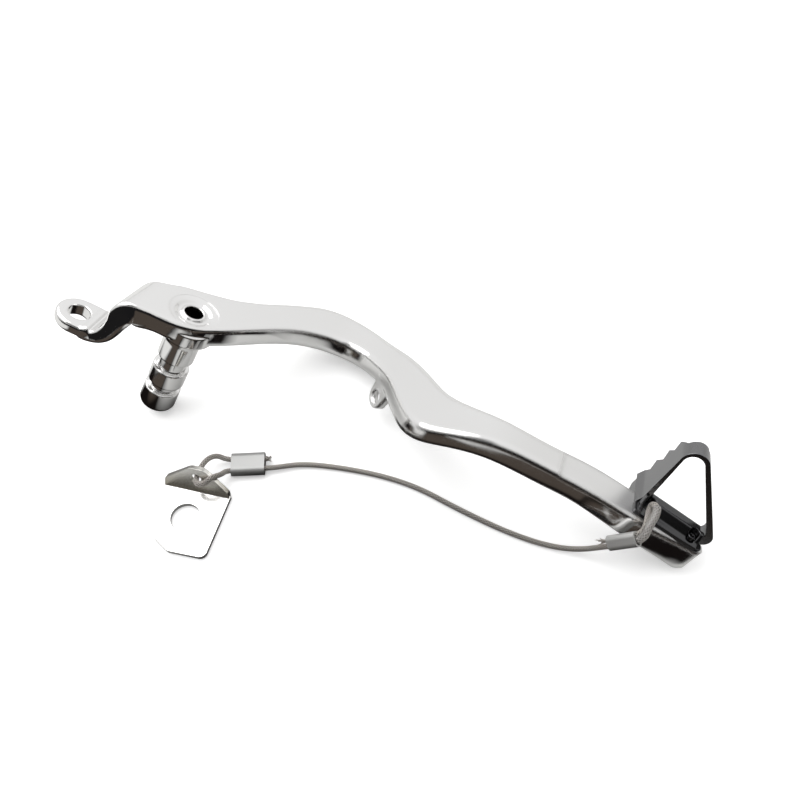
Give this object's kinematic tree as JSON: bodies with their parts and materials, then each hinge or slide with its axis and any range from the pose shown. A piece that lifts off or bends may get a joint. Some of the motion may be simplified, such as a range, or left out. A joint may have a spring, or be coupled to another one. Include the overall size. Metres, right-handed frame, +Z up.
{
  "type": "motorcycle brake pedal",
  "caption": "Cranked polished motorcycle brake pedal with a pivot tube, pushrod tab, spring lug, toothed toe tip and a safety cable that ends in a small bracket.",
  "frame": {"origin": "on the surface the pedal lies on, under the middle of the bounding box of the arm and its tip", "axes": "+Z up from that surface; +X along the pedal's longest extent, from the pushrod tab towards the toe tip; +Y towards the bent side away from the viewer"},
  "size_m": [0.2466, 0.117, 0.0567],
  "materials": {
    "polished_arm": "mirror polished, satin on the raised platform",
    "black_tip": "semi-gloss black coating",
    "black_screw": "black",
    "wire_rope": "stranded wire, slightly dull",
    "dull_sleeve": "matte, pressed",
    "bright_bracket": "bright sheet metal"
  },
  "bodies": {
    "root": {"pedal_arm": "polished_arm", "tip_loop": "black_tip", "tip_base": "black_tip", "tip_screw": "black_screw", "safety_cable": "wire_rope", "bracket_ferrule": "dull_sleeve", "pedal_ferrule": "dull_sleeve", "bracket": "bright_bracket"}
  },
  "joints": []
}
